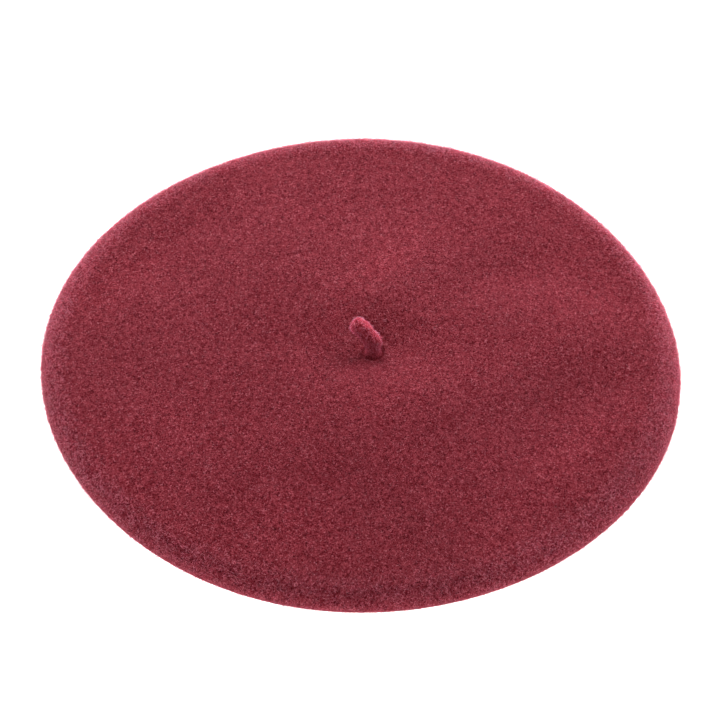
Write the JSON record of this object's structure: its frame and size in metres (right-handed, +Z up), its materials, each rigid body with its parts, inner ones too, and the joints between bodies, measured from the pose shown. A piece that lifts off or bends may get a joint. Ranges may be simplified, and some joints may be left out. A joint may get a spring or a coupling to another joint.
{
  "type": "beret",
  "caption": "Wool-felt beret lying flat, crown up: round plateau with a shallow dimple, a curled felt stem, a satin lining and a leather sweatband round the head opening.",
  "frame": {"origin": "under the middle of the rim, on the surface that the beret lies on", "axes": "+Z up through the crown, the head opening faces -Z, +Y to the back of the hat, where the sweatband joins and carries its bow"},
  "size_m": [0.28, 0.28, 0.0377],
  "materials": {
    "wool_felt": "fulled wool with a short nap",
    "stem_felt": "fulled wool with a short nap",
    "satin": "satin",
    "leather": "smooth grain",
    "thread": "twisted thread",
    "ribbon": "ribbed ribbon",
    "woven_tab": "woven tape"
  },
  "bodies": {
    "hat": {"felt_shell": "wool_felt", "stem_tail": "stem_felt", "stem_tack": "thread", "lining_tip": "satin", "lining_side": "satin", "lining_seam": "thread", "size_tab": "woven_tab", "sweatband": "leather", "sweatband_stitch": "thread", "sweatband_seam_tape": "ribbon", "back_bow": "ribbon", "bow_knot": "ribbon"},
    "stem": {"stem": "stem_felt"}
  },
  "joints": [
    {"name": "stem_bend", "type": "hinge", "parent": "hat", "child": "stem", "pos_m": [0.0055, -0.003, 0.02655], "axis": [0, 1, 0], "range_deg": [-30, 60], "stiffness_Nm_per_rad": 0.002}
  ]
}
